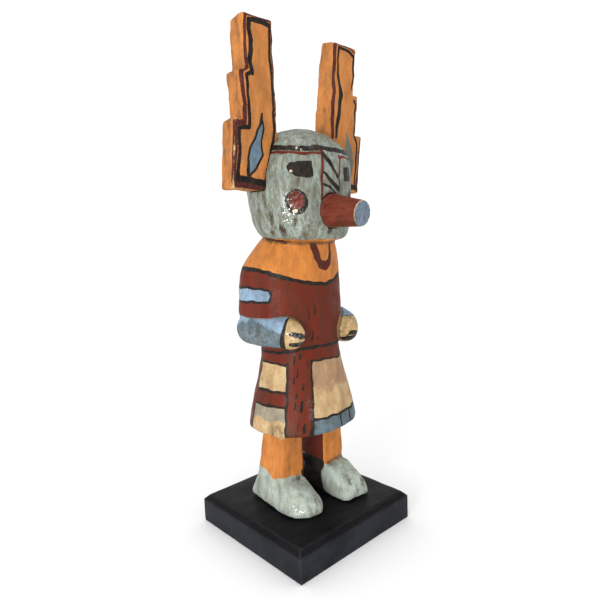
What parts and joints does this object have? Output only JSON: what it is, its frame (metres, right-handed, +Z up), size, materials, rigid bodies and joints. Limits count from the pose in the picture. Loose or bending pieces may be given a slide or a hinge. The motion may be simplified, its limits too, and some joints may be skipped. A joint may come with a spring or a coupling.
{
  "type": "kachina doll",
  "caption": "Painted wooden doll with a barrel head, a peg snout and tall stepped tablets, standing on a square block as an ornament.",
  "frame": {"origin": "middle of the square block's underside", "axes": "+Z up, the figure faces -Y and its own left side is +X"},
  "size_m": [0.0718, 0.0688, 0.2042],
  "materials": {
    "figure_paint": "matt paints under a patchy thin varnish",
    "snout_paint": "satin red-brown paint with a blue-grey end",
    "tablet_paint": "matt worn ochre paint with painted lines",
    "base_paint": "satin black paint"
  },
  "bodies": {
    "root": {"figure": "figure_paint", "snout": "snout_paint", "tablet_right": "tablet_paint", "tablet_left": "tablet_paint", "base": "base_paint"}
  },
  "joints": []
}
